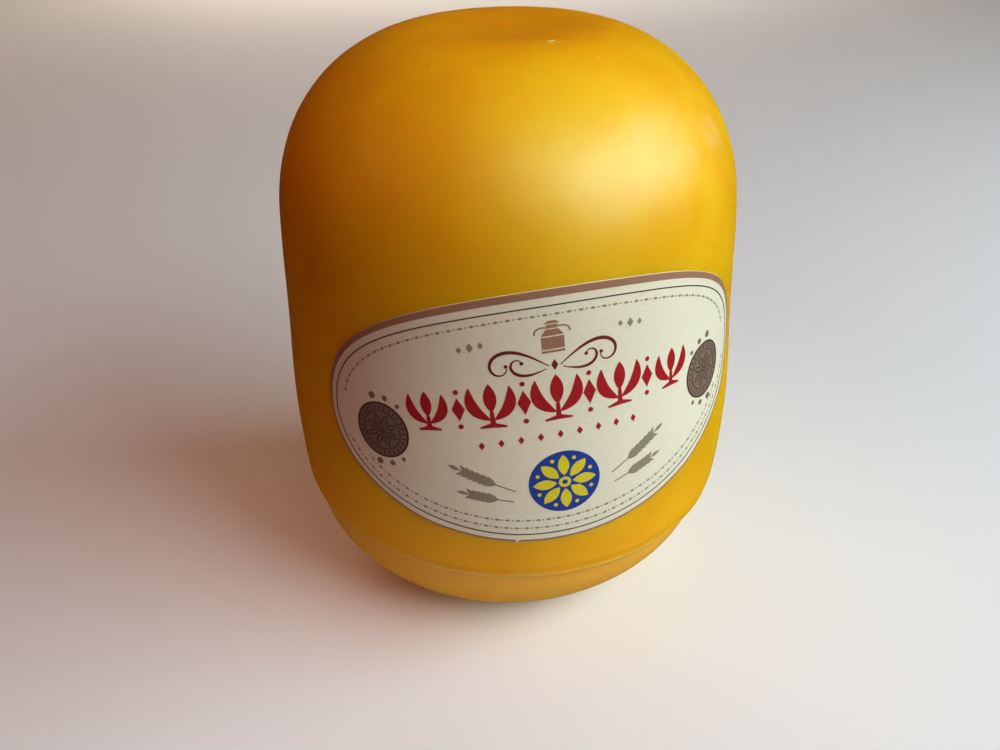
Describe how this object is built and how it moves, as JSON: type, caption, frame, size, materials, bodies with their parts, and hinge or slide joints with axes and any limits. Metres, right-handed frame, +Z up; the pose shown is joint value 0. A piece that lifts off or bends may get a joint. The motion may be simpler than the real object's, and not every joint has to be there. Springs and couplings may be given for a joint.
{
  "type": "waxed barrel cheese",
  "caption": "Small whole cheese in yellow wax, an upright barrel with rounded ends, a hollow top face, a seam above its foot and an oval paper label.",
  "frame": {"origin": "middle of the footprint, at the flat base that the cheese rests on", "axes": "+Z up along the barrel's axis, -Y out through the middle of the label, +X to the right as the label is read"},
  "size_m": [0.0826, 0.0831, 0.1036],
  "materials": {
    "yellow_wax": "smooth satin wax, slightly translucent",
    "label_paper": null
  },
  "bodies": {
    "root": {"waxed_cheese": "yellow_wax", "paper_label": "label_paper"}
  },
  "joints": []
}
